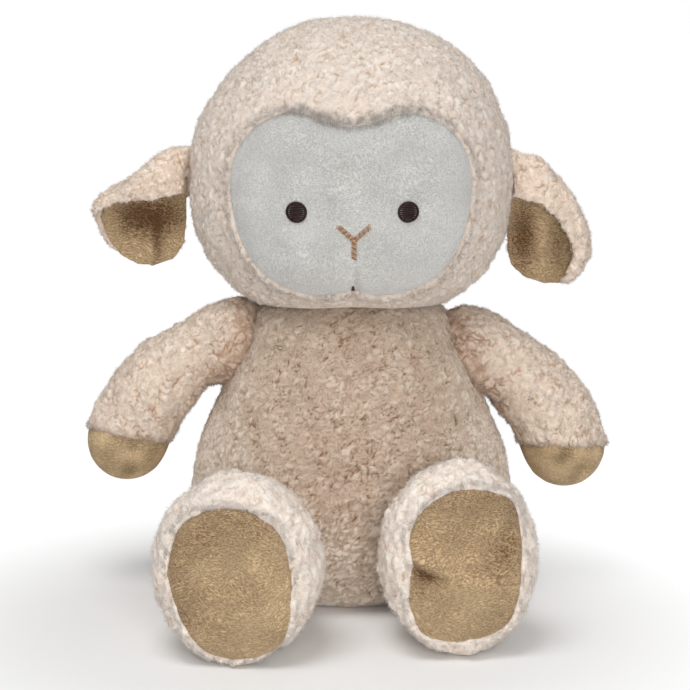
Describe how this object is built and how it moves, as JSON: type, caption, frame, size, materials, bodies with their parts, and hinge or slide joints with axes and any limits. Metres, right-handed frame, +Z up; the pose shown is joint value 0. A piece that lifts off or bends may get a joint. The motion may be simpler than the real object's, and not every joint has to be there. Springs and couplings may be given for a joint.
{
  "type": "plush sheep",
  "caption": "Sitting stuffed sheep with a curly fleece coat, smooth face and soles, and a head, ears, arms, legs and tail that move on sewn joints.",
  "frame": {"origin": "middle of the flat seat, on the surface that the sheep sits on", "axes": "+Z up; the sheep looks along -Y; +X is the sheep's own left, which is on the right in the picture"},
  "size_m": [0.2892, 0.2534, 0.3104],
  "materials": {
    "coat": "curly sherpa fleece, cream to warm beige in the hollows",
    "face": "short cool off-white velour",
    "tan_velour": "brushed tan velour",
    "eye_thread": "dark brown satin stitch",
    "nose_thread": "light brown satin stitch",
    "tuck_thread": "dark brown sewing thread",
    "stuffing": "loose white polyester fibre",
    "pouch": "plain woven cotton bag filled with pellets"
  },
  "bodies": {
    "torso": {"body_skin": "coat", "body_stuffing": "stuffing", "seat_panel": "coat", "pellet_pouch": "pouch"},
    "neck": {"neck_wad": "stuffing"},
    "head": {"head_skin": "coat", "head_stuffing": "stuffing", "face_panel": "face", "left_eye": "eye_thread", "right_eye": "eye_thread", "nose_stitch": "nose_thread", "chin_tuck_stitch": "tuck_thread"},
    "left_ear": {"left_ear_back": "coat", "left_ear_lining": "tan_velour"},
    "right_ear": {"right_ear_back": "coat", "right_ear_lining": "tan_velour"},
    "left_arm": {"left_arm_skin": "coat", "left_hand_tip": "tan_velour", "left_arm_stuffing": "stuffing"},
    "right_arm": {"right_arm_skin": "coat", "right_hand_tip": "tan_velour", "right_arm_stuffing": "stuffing"},
    "left_leg": {"left_leg_skin": "coat", "left_sole": "tan_velour", "left_leg_stuffing": "stuffing"},
    "right_leg": {"right_leg_skin": "coat", "right_sole": "tan_velour", "right_leg_stuffing": "stuffing"},
    "tail": {"tail": "coat"}
  },
  "joints": [
    {"name": "neck_turn", "type": "hinge", "parent": "torso", "child": "neck", "pos_m": [0, 0, 0.12], "axis": [0, 0, 1], "range_deg": [-35, 35], "stiffness_Nm_per_rad": 0.3},
    {"name": "head_nod", "type": "hinge", "parent": "neck", "child": "head", "pos_m": [0, 0, 0.12], "axis": [1, 0, 0], "range_deg": [-12, 12], "stiffness_Nm_per_rad": 2},
    {"name": "left_ear_flap", "type": "hinge", "parent": "head", "child": "left_ear", "pos_m": [0.0884, -0.001, 0.23], "axis": [0, 0, -1], "range_deg": [-30, 25], "stiffness_Nm_per_rad": 0.05},
    {"name": "right_ear_flap", "type": "hinge", "parent": "head", "child": "right_ear", "pos_m": [-0.0884, -0.001, 0.23], "axis": [0, 0, 1], "range_deg": [-30, 25], "stiffness_Nm_per_rad": 0.05},
    {"name": "left_arm_swing", "type": "hinge", "parent": "torso", "child": "left_arm", "pos_m": [0.062, 0, 0.1305], "axis": [-0.9205, 0, -0.3907], "range_deg": [-35, 90], "stiffness_Nm_per_rad": 0.15},
    {"name": "right_arm_swing", "type": "hinge", "parent": "torso", "child": "right_arm", "pos_m": [-0.061, 0, 0.135], "axis": [-0.9397, 0, 0.342], "range_deg": [-35, 90], "stiffness_Nm_per_rad": 0.15},
    {"name": "left_leg_lift", "type": "hinge", "parent": "torso", "child": "left_leg", "pos_m": [0.048, -0.062, 0.04], "axis": [-1, 0, 0], "range_deg": [0, 20], "stiffness_Nm_per_rad": 0.6},
    {"name": "right_leg_lift", "type": "hinge", "parent": "torso", "child": "right_leg", "pos_m": [-0.048, -0.062, 0.04], "axis": [-1, 0, 0], "range_deg": [0, 20], "stiffness_Nm_per_rad": 0.6},
    {"name": "tail_lift", "type": "hinge", "parent": "torso", "child": "tail", "pos_m": [0, 0.075, 0.062], "axis": [1, 0, 0], "range_deg": [0, 50], "stiffness_Nm_per_rad": 0.03}
  ]
}
